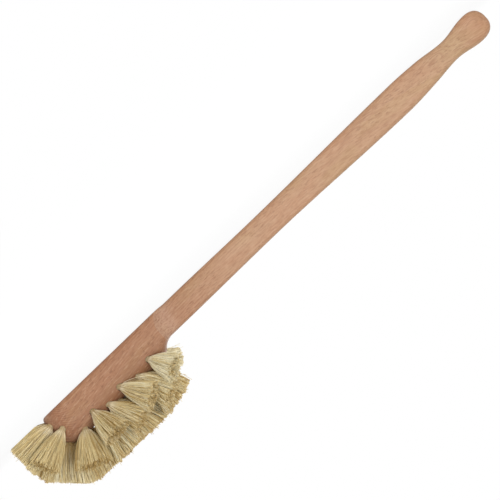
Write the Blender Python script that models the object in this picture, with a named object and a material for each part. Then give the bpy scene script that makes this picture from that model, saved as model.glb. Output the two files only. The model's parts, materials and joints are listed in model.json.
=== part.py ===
"""Long-handled bottle brush, resting on the flat back of its head with its fibres up.

The body is one piece of beech: a slim handle with a knob, and a thicker head drilled with blind holes.
Each hole holds a tuft of plant fibre, folded over a flat wire anchor whose ends bite into the wood.

All lengths are in metres. While a piece is made, X runs from the nose of the head to the knob, Y runs
across and Z rises from the flat back towards the fibres. The "brush" empty, which carries every piece,
then puts the origin at the middle of that flat back.
"""

import math
import random
from typing import NamedTuple

import bmesh
import bpy
import numpy as np
from mathutils import Matrix, Vector

# Head: flat back and sides, a large round from each side to the keel, and a nose of the same section
HEAD_LENGTH = 0.0938
HEAD_DEPTH = 0.0287
HEAD_THICKNESS = 0.0280
BACK_ROUND = 0.0030
KEEL_ROUND = 0.0120

# Heel: the slope from the keel to the handle's underside, with its rounded crest and concave run-out
HEEL_DEGREES = 45
HEEL_CREST_ROUND = 0.0030
HEEL_ROUND = 0.0120

# Scoop: the hollow on each side, from a bent edge on the head to the thinner handle
SCOOP_START = 0.0077
SCOOP_LENGTH = 0.0150
SCOOP_EDGE_RADIUS = 0.0725
BEND_RUN_IN = 0.0120
BEND_RUN_OUT = 0.0200

# Handle sections, each at its distance from the one before: how far the back line rises off the plane
# of the head's back, the depth of the wood there, its thickness across and the round along its edges
HEAD_TO_NECK = 0.0312
NECK_RISE = 0.0005
NECK_DEPTH = 0.0199
NECK_THICKNESS = 0.0170
NECK_ROUND = 0.0034
NECK_TO_SHANK = 0.0800
SHANK_RISE = 0.0011
SHANK_DEPTH = 0.0190
SHANK_THICKNESS = 0.0165
SHANK_ROUND = 0.0034
SHANK_TO_GRIP = 0.1320
GRIP_RISE = 0
GRIP_DEPTH = 0.0230
GRIP_THICKNESS = 0.0180
GRIP_ROUND = 0.0045
GRIP_TO_PALM = 0.0230
PALM_RISE = 0.0009
PALM_DEPTH = 0.0209
PALM_THICKNESS = 0.0165
PALM_ROUND = 0.0045
PALM_TO_WAIST = 0.0255
WAIST_RISE = 0.0035
WAIST_DEPTH = 0.0162
WAIST_THICKNESS = 0.0135
WAIST_ROUND = 0.0045
WAIST_TO_KNOB = 0.0212
KNOB_RISE = 0.0008
KNOB_DEPTH = 0.0219
KNOB_THICKNESS = 0.0175
KNOB_ROUND = 0.0065
KNOB_TO_END = 0.0128
KNOB_SQUARENESS = 2.4

# Tuft holes and what sits in them
HOLE_RADIUS = 0.0028
HOLE_DEPTH = 0.0075
CLEARANCE = 0.0003
ROOT_STANDS_PROUD = 0.0015
FOLD_THICKNESS = 0.0012
FOLD_ROUND = 0.0006
ANCHOR_THICKNESS = 0.0004
ANCHOR_HEIGHT = 0.0020
ANCHOR_BITE = 0.0006
CUT_OVERRUN = 0.0050

# Fibres: their length where a tuft is trimmed square, and the planes that the whole brush is trimmed to.
# The last four lie off the keel, ahead of the nose and, on a slant, off the feet of the nose and the heel
FIBRE_LENGTH = 0.0285
KEEL_FIBRE_LENGTH = 0.0290
NOSE_FIBRE_REACH = 0.0303
NOSE_CORNER_REACH = 0.0443
NOSE_CORNER_DEGREES = 45
HEEL_CORNER_REACH = 0.0340
HEEL_CORNER_DEGREES = 48
FAN_HALF_WIDTH = 0.0105
FAN_HALF_THICKNESS = 0.0055
LENGTH_SCATTER = 0.0006
TIP_SCATTER = 0.00025

# Counts and shares that shape the tufts and the facets of round forms
CORE_SIDES = 5
CORE_RADIUS_SHARE = 0.58
HALFWAY_SHARE = 0.5
HALFWAY_SPREAD_SHARE = 0.45
STRAND_FILL_SHARE = 0.70
ROUND_STEPS = 6
NOSE_STEPS = 14
HOLE_SIDES = 12
HEAD_STEPS = 5
HEEL_STEPS = 9
SCOOP_STEPS = 9
HANDLE_SPAN_STEPS = (8, 12, 5, 6, 6)
KNOB_STEPS = 8
SHARP_DEGREES = 30
MERGE_SHARE = 0.01
LEAST_TRIM_SHARE = 0.2

SIDES = {"_left": 1, "_right": -1}
HALF_HEAD = HEAD_THICKNESS / 2
EDGE_ROUND = min(KEEL_ROUND, HALF_HEAD)
BOUND_RADIUS = HOLE_RADIUS - CLEARANCE
ANCHOR_LENGTH = 2 * (HOLE_RADIUS + ANCHOR_BITE)


class HeadTuft(NamedTuple):
    """A tuft, or a left and right pair, along the straight part of the head.

    along_share is a share of the head's length. around_degrees is the hole's place on the keel round, 0 at
    the flat side and 90 at the keel. The tuft splays sideways, and leans from upright towards the knob.
    """

    name: str
    along_share: float
    around_degrees: float
    splay_degrees: float
    lean_degrees: float
    square_share: float


class NoseTuft(NamedTuple):
    """A tuft, or a left and right pair, on the round of the nose.

    turn_degrees goes from the side, 0, to straight ahead, 90. The hole lies on the upright wall at
    height_share of the head's depth or, where around_degrees is over 0, on the keel round.
    """

    name: str
    turn_degrees: float
    height_share: float
    around_degrees: float
    splay_degrees: float
    lean_degrees: float
    square_share: float


class Section(NamedTuple):
    """One cross-section of the wood: its place, its back line's rise, its size and how far it bends."""

    at: float
    rise: float
    depth: float
    thickness: float
    round: float
    bend_share: float


# A tuft with square_share 0 ends only at the planes that the whole brush is trimmed to
HEAD_TUFTS = (
    HeadTuft("tuft_side_heel", 0.905, 26, 42, 36, 0.93),
    HeadTuft("tuft_side_middle", 0.612, 26, 36, 35, 1.02),
    HeadTuft("tuft_side_front", 0.336, 24, 41, 8, 1.0),
    HeadTuft("tuft_flank_heel", 0.757, 46, 27, 22, 1.0),
    HeadTuft("tuft_flank_middle", 0.458, 46, 27, 24, 1.0),
    HeadTuft("tuft_flank_front", 0.195, 52, 31, -25, 1.0),
    HeadTuft("tuft_low_heel", 0.817, 72, 12, 5, 0),
    HeadTuft("tuft_low_middle", 0.520, 72, 12, 6, 0),
    HeadTuft("tuft_low_front", 0.362, 72, 12, -4, 0),
    HeadTuft("tuft_keel_heel", 0.880, 90, 0, 1, 0),
    HeadTuft("tuft_keel_middle", 0.592, 90, 0, 6, 0),
    HeadTuft("tuft_keel_fore", 0.299, 90, 0, -3, 0),
    HeadTuft("tuft_keel_front", 0.155, 90, 0, -20, 0),
)
NOSE_TUFTS = (
    NoseTuft("tuft_nose_side", 31.4, 0.53, 0, 27, -69, 1.0),
    NoseTuft("tuft_nose_tip", 60, 0.265, 0, 14, -83, 0),
    NoseTuft("tuft_nose_front", 90, 0.55, 0, 0, -68, 0),
    NoseTuft("tuft_nose_under", 90, 0, 45, 0, -41, 0),
)


def clear_scene():
    """Removes whatever the scene holds."""
    for old in list(bpy.data.objects):
        bpy.data.objects.remove(old, do_unlink=True)


def material(name, colour, roughness, metallic):
    """A Principled material of one colour."""
    made = bpy.data.materials.new(name)
    made.use_nodes = True
    shader = made.node_tree.nodes["Principled BSDF"]
    shader.inputs["Base Color"].default_value = (*colour, 1)
    shader.inputs["Roughness"].default_value = roughness
    shader.inputs["Metallic"].default_value = metallic
    made.diffuse_color = (*colour, 1)
    return made


def object_from(bm, name, finish):
    """A mesh object from bm, with its faces turned outwards."""
    bmesh.ops.recalc_face_normals(bm, faces=bm.faces)
    mesh = bpy.data.meshes.new(name)
    bm.to_mesh(mesh)
    bm.free()
    made = bpy.data.objects.new(name, mesh)
    bpy.context.scene.collection.objects.link(made)
    if finish:
        mesh.materials.append(finish)
    return made


def cutter_from(bm, name, frame):
    """A cutter, placed by its frame and left out of the part."""
    cutter = object_from(bm, name, None)
    cutter.matrix_world = frame
    cutter.hide_render = True
    cutter.display_type = "WIRE"
    return cutter


def box(length, width, height, middle_height):
    """A box round the frame's Z axis."""
    bm = bmesh.new()
    size = Matrix.Diagonal((length, width, height, 1))
    bmesh.ops.create_cube(bm, size=1, matrix=Matrix.Translation((0, 0, middle_height)) @ size)
    return bm


def arc(centre, radius, start_degrees, end_degrees):
    """Points of an arc in a plane, both ends included."""
    points = []
    for step in range(ROUND_STEPS + 1):
        angle = math.radians(start_degrees + (end_degrees - start_degrees) * step / ROUND_STEPS)
        points.append((centre[0] + radius * math.cos(angle), centre[1] + radius * math.sin(angle)))
    return points


def half_outline(section):
    """One half of a section as (across, height), from the middle of the back to the keel."""
    half = section.thickness / 2
    top = section.rise + section.depth
    back_round = min(BACK_ROUND, section.round, section.depth / 2)
    keel_round = min(section.round, half, section.depth - back_round)
    points = [(0, section.rise)]
    points += arc((half - back_round, section.rise + back_round), back_round, -90, 0)
    points += arc((half - keel_round, top - keel_round), keel_round, 0, 90)
    return points + [(0, top)]


def ring_places(section):
    """All points of a section. A bent one curves from the keel on, so that its back lies nearer the knob."""
    half = half_outline(section)
    outline = half + [(-across, height) for across, height in reversed(half[1:-1])]
    top = section.rise + section.depth
    places = []
    for across, height in outline:
        bend = section.bend_share * (top - height) ** 2 / (2 * SCOOP_EDGE_RADIUS)
        places.append(Vector((section.at + bend, across, height)))
    return places


def heel_height(at):
    """Height of the keel side along the heel: level, rounded crest, slope, concave run-out, level."""
    angle = math.radians(HEEL_DEGREES)
    neck_height = NECK_RISE + NECK_DEPTH
    foot = HEAD_LENGTH + (HEAD_DEPTH - neck_height) / math.tan(angle)
    crest_reach = HEEL_CREST_ROUND * math.tan(angle / 2)
    foot_reach = HEEL_ROUND * math.tan(angle / 2)
    if at <= HEAD_LENGTH - crest_reach:
        return HEAD_DEPTH
    if at < HEAD_LENGTH + crest_reach * math.cos(angle):
        past = at - HEAD_LENGTH + crest_reach
        return HEAD_DEPTH - HEEL_CREST_ROUND + math.sqrt(HEEL_CREST_ROUND**2 - past**2)
    if at <= foot - foot_reach * math.cos(angle):
        return HEAD_DEPTH - (at - HEAD_LENGTH) * math.tan(angle)
    if at < foot + foot_reach:
        short = foot + foot_reach - at
        return neck_height + HEEL_ROUND - math.sqrt(HEEL_ROUND**2 - short**2)
    return neck_height


def eased(share):
    """An S curve from 0 to 1, level at both ends."""
    share = min(max(share, 0), 1)
    return share * share * (3 - 2 * share)


def neck_section(at):
    """A section of the heel or of the scoop behind it."""
    past_edge = at - HEAD_LENGTH - SCOOP_START
    left = 1 - min(max(past_edge / SCOOP_LENGTH, 0), 1)
    thickness = NECK_THICKNESS + (HEAD_THICKNESS - NECK_THICKNESS) * left * left
    bend_share = eased(past_edge / BEND_RUN_IN + 1) * (1 - eased(past_edge / BEND_RUN_OUT))
    rise = NECK_RISE * eased(past_edge / SCOOP_LENGTH)
    tapered = math.sqrt(eased((at - HEAD_LENGTH) / (SCOOP_START + SCOOP_LENGTH)))
    edge_round = EDGE_ROUND + (NECK_ROUND - EDGE_ROUND) * tapered
    return Section(at, rise, heel_height(at) - rise, thickness, edge_round, bend_share)


def hermite(share, start, end, start_slope, end_slope):
    """A cubic from start to end whose slopes are measured over the whole span."""
    square = share * share
    cube = square * share
    ends = (2 * cube - 3 * square + 1) * start + (3 * square - 2 * cube) * end
    return ends + (cube - 2 * square + share) * start_slope + (cube - square) * end_slope


def handle_sections():
    """Sections from the neck to the knob's fullest place, on a smooth curve through the named ones."""
    named = (
        (HEAD_LENGTH + HEAD_TO_NECK, NECK_RISE, NECK_DEPTH, NECK_THICKNESS, NECK_ROUND),
        (NECK_TO_SHANK, SHANK_RISE, SHANK_DEPTH, SHANK_THICKNESS, SHANK_ROUND),
        (SHANK_TO_GRIP, GRIP_RISE, GRIP_DEPTH, GRIP_THICKNESS, GRIP_ROUND),
        (GRIP_TO_PALM, PALM_RISE, PALM_DEPTH, PALM_THICKNESS, PALM_ROUND),
        (PALM_TO_WAIST, WAIST_RISE, WAIST_DEPTH, WAIST_THICKNESS, WAIST_ROUND),
        (WAIST_TO_KNOB, KNOB_RISE, KNOB_DEPTH, KNOB_THICKNESS, KNOB_ROUND),
    )
    values = np.array(named, float)
    values[:, 0] = values[:, 0].cumsum()
    steps = np.diff(values, axis=0)
    rates = steps[:, 1:] / steps[:, :1]
    same_way = rates[:-1] * rates[1:] > 0
    means = 2 * rates[:-1] * rates[1:] / np.where(same_way, rates[:-1] + rates[1:], 1)
    slopes = np.zeros((len(values), rates.shape[1]))
    slopes[1:-1] = np.where(same_way, means, 0)
    sections = [Section(*values[0], 0)]
    for span, count in enumerate(HANDLE_SPAN_STEPS):
        run = steps[span, 0]
        start_slope, end_slope = slopes[span] * run, slopes[span + 1] * run
        for share in np.linspace(0, 1, count + 1)[1:]:
            sizes = hermite(share, values[span, 1:], values[span + 1, 1:], start_slope, end_slope)
            sections.append(Section(values[span, 0] + share * run, *sizes, 0))
    return sections


def knob_sections(knob_at):
    """Sections from past the knob's fullest place to its end, each smaller by a superellipse."""
    sections = []
    for step in range(1, KNOB_STEPS + 1):
        reach = math.sin(math.radians(90) * step / (KNOB_STEPS + HALFWAY_SHARE))
        left = (1 - reach**KNOB_SQUARENESS) ** (1 / KNOB_SQUARENESS)
        depth = KNOB_DEPTH * left
        rise = KNOB_RISE + (KNOB_DEPTH - depth) / 2
        at = knob_at + KNOB_TO_END * reach
        sections.append(Section(at, rise, depth, KNOB_THICKNESS * left, KNOB_ROUND * left, 0))
    return sections


def head_section(at):
    """A section of the head's straight part."""
    return Section(at, 0, HEAD_DEPTH, HEAD_THICKNESS, EDGE_ROUND, 0)


def body_sections():
    """All sections from where the nose begins to the knob's end."""
    straight_end = HEAD_LENGTH - HEEL_CREST_ROUND
    edge_at = HEAD_LENGTH + SCOOP_START
    neck_at = HEAD_LENGTH + HEAD_TO_NECK
    sections = [head_section(at) for at in np.linspace(HALF_HEAD, straight_end, HEAD_STEPS)]
    sections += [neck_section(at) for at in np.linspace(straight_end, edge_at, HEEL_STEPS + 1)[1:]]
    sections += [neck_section(at) for at in np.linspace(edge_at, neck_at, SCOOP_STEPS + 1)[1:-1]]
    sections += handle_sections()
    return sections + knob_sections(sections[-1].at)


def extrude_ring(bm, ring, places):
    """Extrudes a closed ring of vertices to the given places. Returns the new ring."""
    edges = [bm.edges.get(pair) for pair in zip(ring, ring[1:] + ring[:1])]
    grown = bmesh.ops.extrude_edge_only(bm, edges=edges)["geom"]
    fresh = {item for item in grown if isinstance(item, bmesh.types.BMVert)}
    following = []
    for vert in ring:
        ends = [edge.other_vert(vert) for edge in vert.link_edges]
        following.append(next(end for end in ends if end in fresh))
    for vert, place in zip(following, places):
        vert.co = place
    return following


def spin_nose(bm):
    """Spins half of the head's section round an upright axis, which makes the nose."""
    outline = half_outline(head_section(HALF_HEAD))
    verts = [bm.verts.new((HALF_HEAD, across, height)) for across, height in outline]
    edges = [bm.edges.new(pair) for pair in zip(verts, verts[1:])]
    bmesh.ops.spin(
        bm,
        geom=verts + edges,
        cent=(HALF_HEAD, 0, 0),
        axis=(0, 0, 1),
        angle=math.radians(180),
        steps=NOSE_STEPS,
        use_merge=False,
    )


def make_body(finish, cutters):
    """The wooden body: sections joined ring by ring, a spun nose, and the holes that the cutters make."""
    bm = bmesh.new()
    sections = body_sections()
    ring = [bm.verts.new(place) for place in ring_places(sections[0])]
    for pair in zip(ring, ring[1:] + ring[:1]):
        bm.edges.new(pair)
    for section in sections[1:]:
        ring = extrude_ring(bm, ring, ring_places(section))
    end_cap = bm.faces.new(ring)
    bmesh.ops.poke(bm, faces=[end_cap])
    spin_nose(bm)
    bmesh.ops.remove_doubles(bm, verts=bm.verts, dist=CLEARANCE * MERGE_SHARE)
    body = object_from(bm, "beech_body", finish)
    body.data.shade_smooth()
    body.data.set_sharp_from_angle(angle=math.radians(SHARP_DEGREES))
    holes = body.modifiers.new("tuft_holes", "BOOLEAN")
    holes.operand_type = "COLLECTION"
    holes.collection = cutters
    holes.operation = "DIFFERENCE"
    holes.solver = "EXACT"
    return body


def tuft_direction(tuft, side):
    """The way a tuft points, from its splay and its lean."""
    splay = math.radians(tuft.splay_degrees)
    lean = math.radians(tuft.lean_degrees)
    return Vector((math.cos(splay) * math.sin(lean), side * math.sin(splay), math.cos(splay) * math.cos(lean)))


def tuft_frame(root, direction):
    """A frame on the hole's mouth: Z is the tuft's direction, X as near across as it can be, and Y its fan."""
    across = Vector((0, 1, 0))
    x_axis = (across - direction * across.dot(direction)).normalized()
    turn = Matrix((x_axis, direction.cross(x_axis), direction)).transposed()
    return Matrix.Translation(root) @ turn.to_4x4()


def tuft_root(tuft, side):
    """Where a tuft's hole meets the surface."""
    around = math.radians(tuft.around_degrees)
    out = HALF_HEAD - EDGE_ROUND * (1 - math.cos(around))
    height = HEAD_DEPTH - EDGE_ROUND * (1 - math.sin(around))
    if isinstance(tuft, HeadTuft):
        return Vector((HEAD_LENGTH * tuft.along_share, side * out, height))
    if tuft.around_degrees == 0:
        height = HEAD_DEPTH * tuft.height_share
    turn = math.radians(tuft.turn_degrees)
    return Vector((HALF_HEAD - out * math.sin(turn), side * out * math.cos(turn), height))


def trim_planes(tuft, root, direction):
    """Points and normals of the planes that can end a tuft's fibres. Each fibre ends at the first it meets."""
    nose, heel = Vector((0, 0, 0)), Vector((HEAD_LENGTH, 0, 0))
    planes = []
    for foot, lean_degrees, reach in (
        (nose, 0, HEAD_DEPTH + KEEL_FIBRE_LENGTH),
        (nose, -90, NOSE_FIBRE_REACH),
        (nose, -NOSE_CORNER_DEGREES, NOSE_CORNER_REACH),
        (heel, HEEL_CORNER_DEGREES, HEEL_CORNER_REACH),
    ):
        lean = math.radians(lean_degrees)
        normal = Vector((math.sin(lean), 0, math.cos(lean)))
        planes.append((foot + normal * reach, normal))
    if tuft.square_share > 0:
        planes.append((root + direction * FIBRE_LENGTH * tuft.square_share, direction))
    return planes


def placed_tufts():
    """Every tuft as (name, frame on its hole's mouth, trim planes)."""
    placed = []
    for tuft in HEAD_TUFTS + NOSE_TUFTS:
        for side_name, side in SIDES.items() if tuft.splay_degrees else (("", 0),):
            root = tuft_root(tuft, side)
            direction = tuft_direction(tuft, side)
            planes = trim_planes(tuft, root, direction)
            placed.append((tuft.name + side_name, tuft_frame(root, direction), planes))
    return placed


def anchor_middle():
    """Height of an anchor's middle in the tuft's frame, a fold's thickness above the hole's bottom."""
    return 2 * CLEARANCE + FOLD_THICKNESS + ANCHOR_HEIGHT / 2 - HOLE_DEPTH


def anchor_box(length, spare):
    """A box in the anchor's place, larger all round by spare."""
    return box(length + 2 * spare, ANCHOR_THICKNESS + 2 * spare, ANCHOR_HEIGHT + 2 * spare, anchor_middle())


def make_hole_cutters(name, frame, cutters):
    """The drilled hole and the slot that the anchor's ends bite."""
    bm = bmesh.new()
    depth = HOLE_DEPTH + CUT_OVERRUN
    bmesh.ops.create_cone(
        bm,
        cap_ends=True,
        segments=HOLE_SIDES,
        radius1=HOLE_RADIUS,
        radius2=HOLE_RADIUS,
        depth=depth,
        matrix=Matrix.Translation((0, 0, CUT_OVERRUN - depth / 2)),
    )
    drill = cutter_from(bm, f"{name}_drill", frame)
    slot = cutter_from(anchor_box(ANCHOR_LENGTH, CLEARANCE), f"{name}_slot", frame)
    for cutter in (drill, slot):
        bpy.context.scene.collection.objects.unlink(cutter)
        cutters.objects.link(cutter)


def make_anchor(name, frame, finish):
    """A flat piece of wire, set on edge across the hole."""
    anchor = object_from(anchor_box(ANCHOR_LENGTH, 0), name.replace("tuft", "anchor"), finish)
    anchor.matrix_world = frame
    return anchor


def circle_place(radius, turn_share, height):
    """A point of a circle round the Z axis."""
    angle = math.tau * turn_share
    return Vector((radius * math.cos(angle), radius * math.sin(angle), height))


def bound_root(bm):
    """The tuft's root in its hole, rounded where it folds. Returns the cells of its top, one a strand."""
    rim_sides = 2 * CORE_SIDES
    top = ROOT_STANDS_PROUD
    core_radius = BOUND_RADIUS * CORE_RADIUS_SHARE
    middle = bm.verts.new((0, 0, top))
    core = [bm.verts.new(circle_place(core_radius, place / CORE_SIDES, top)) for place in range(CORE_SIDES)]
    rim = [bm.verts.new(circle_place(BOUND_RADIUS, place / rim_sides, top)) for place in range(rim_sides)]
    cells = []
    for place in range(CORE_SIDES):
        following = core[(place + 1) % CORE_SIDES]
        outer = (rim[2 * place], rim[2 * place + 1], rim[(2 * place + 2) % rim_sides])
        cells.append(bm.faces.new((middle, core[place], following)))
        cells.append(bm.faces.new((core[place], outer[0], outer[1])))
        cells.append(bm.faces.new((core[place], outer[1], outer[2], following)))
    fold = CLEARANCE - HOLE_DEPTH
    for radius, height in ((BOUND_RADIUS, fold + FOLD_ROUND), (BOUND_RADIUS - FOLD_ROUND, fold)):
        places = [circle_place(radius, place / rim_sides, height) for place in range(rim_sides)]
        rim = extrude_ring(bm, rim, places)
    bm.faces.new(rim)
    return cells


def trimmed_height(place, planes):
    """How far along the Z axis the first plane lies over a place. Planes nearly along that axis don't count."""
    heights = []
    for point, normal in planes:
        if normal.z > LEAST_TRIM_SHARE:
            heights.append((point - place).dot(normal) / normal.z)
    return min(heights)


def grow_strands(bm, cells, planes, seed):
    """Extrudes each cell to a strand that fans out from the root and ends at the first plane it meets."""
    scatter = random.Random(seed)
    starts = [cell.calc_center_median() for cell in cells]
    longer = [scatter.uniform(-LENGTH_SCATTER, LENGTH_SCATTER) for _ in cells]
    drifts = [Vector((scatter.uniform(-1, 1), scatter.uniform(-1, 1), 0)) * TIP_SCATTER for _ in cells]
    corners = [[vert.co - start for vert in cell.verts] for cell, start in zip(cells, starts)]
    widest = Vector((FAN_HALF_THICKNESS / BOUND_RADIUS, FAN_HALF_WIDTH / BOUND_RADIUS, 1))
    unspread = Vector((1, 1, 1))
    for up_share, spread_share in ((HALFWAY_SHARE, HALFWAY_SPREAD_SHARE), (1, 1)):
        spread = unspread.lerp(widest, spread_share)
        swollen = unspread.lerp(widest * STRAND_FILL_SHARE, spread_share)
        cells = [bmesh.ops.extrude_discrete_faces(bm, faces=[cell])["faces"][0] for cell in cells]
        for cell, start, around, extra, drift in zip(cells, starts, corners, longer, drifts):
            ahead = start * spread + drift * spread_share
            for vert, corner in zip(cell.verts, around):
                place = ahead + corner * swollen
                place.z = 0
                height = trimmed_height(place, planes) - start.z + extra
                place.z = start.z + height * up_share
                vert.co = place


def make_tuft(name, frame, planes, seed, finish):
    """A tuft and the cutter that opens its root where the anchor passes."""
    to_tuft = frame.inverted()
    bm = bmesh.new()
    cells = bound_root(bm)
    turned = to_tuft.to_3x3()
    grow_strands(bm, cells, [(to_tuft @ point, turned @ normal) for point, normal in planes], seed)
    tuft = object_from(bm, name, finish)
    tuft.matrix_world = frame
    window = cutter_from(anchor_box(2 * HOLE_RADIUS, CLEARANCE), f"{name}_window", frame)
    opening = tuft.modifiers.new("anchor_window", "BOOLEAN")
    opening.object = window
    opening.operation = "DIFFERENCE"
    opening.solver = "EXACT"
    return tuft


def main():
    """Builds the brush."""
    clear_scene()
    beech = material("beech", (0.60, 0.34, 0.20), 0.55, 0)
    fibre = material("plant_fibre", (0.62, 0.47, 0.25), 0.75, 0)
    steel = material("anchor_steel", (0.60, 0.60, 0.58), 0.35, 1)
    cutters = bpy.data.collections.new("tuft_hole_cutters")
    bpy.context.scene.collection.children.link(cutters)
    for seed, (name, frame, planes) in enumerate(placed_tufts()):
        make_hole_cutters(name, frame, cutters)
        make_anchor(name, frame, steel)
        make_tuft(name, frame, planes, seed, fibre)
    make_body(beech, cutters)
    pieces = [item for item in bpy.data.objects if item.type == "MESH"]
    brush = bpy.data.objects.new("brush", None)
    bpy.context.scene.collection.objects.link(brush)
    brush.location = (-HEAD_LENGTH / 2, 0, 0)
    for piece in pieces:
        piece.parent = brush


main()
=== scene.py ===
"""Looks of the long-handled bottle brush: a beech body, plant-fibre tufts and the wire anchors that hold them.

The brush lies on the flat back of its head, fibres up. X runs from the nose to the knob, Y across and Z up.
All lengths are in metres.
"""

import json
import logging
import math
from dataclasses import dataclass, replace
from enum import Enum
from functools import cached_property
from typing import NamedTuple

import bpy
import numpy as np
from mathutils import Matrix, Vector

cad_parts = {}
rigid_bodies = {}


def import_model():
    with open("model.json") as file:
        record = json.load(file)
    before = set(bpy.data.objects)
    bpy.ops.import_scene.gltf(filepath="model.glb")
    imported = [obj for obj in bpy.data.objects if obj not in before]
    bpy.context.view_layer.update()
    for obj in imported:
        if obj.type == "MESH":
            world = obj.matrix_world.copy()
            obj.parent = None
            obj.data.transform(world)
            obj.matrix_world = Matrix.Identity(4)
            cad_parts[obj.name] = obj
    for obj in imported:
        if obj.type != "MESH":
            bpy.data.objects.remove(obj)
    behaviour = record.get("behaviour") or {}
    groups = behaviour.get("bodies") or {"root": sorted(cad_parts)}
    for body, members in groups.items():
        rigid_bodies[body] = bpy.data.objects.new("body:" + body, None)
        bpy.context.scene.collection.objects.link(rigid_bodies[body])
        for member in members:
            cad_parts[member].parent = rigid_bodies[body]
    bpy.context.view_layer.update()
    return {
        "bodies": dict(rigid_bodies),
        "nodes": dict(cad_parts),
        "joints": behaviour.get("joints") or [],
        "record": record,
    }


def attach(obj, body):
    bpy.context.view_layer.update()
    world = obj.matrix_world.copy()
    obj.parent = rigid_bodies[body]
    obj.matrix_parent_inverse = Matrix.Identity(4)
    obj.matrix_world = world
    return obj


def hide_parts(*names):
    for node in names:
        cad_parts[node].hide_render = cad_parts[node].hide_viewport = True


LOG = logging.getLogger("bottle_brush")
Colour = tuple[float, float, float]
Range = tuple[float, float]
Socket = bpy.types.NodeSocket
WHITE: Colour = (1.0, 1.0, 1.0)


class Side(Enum):
    """Which half of the brush a tuft stands in, as the sign of its Y."""

    LEFT = 1
    RIGHT = -1
    MIDDLE = 0


class Noise(NamedTuple):
    """A noise pattern: its cells per metre along each axis, its shift in cells, its layers and their strength."""

    scale: Colour
    shift: Colour = (0, 0, 0)
    detail: float = 3
    roughness: float = 0.5


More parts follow.
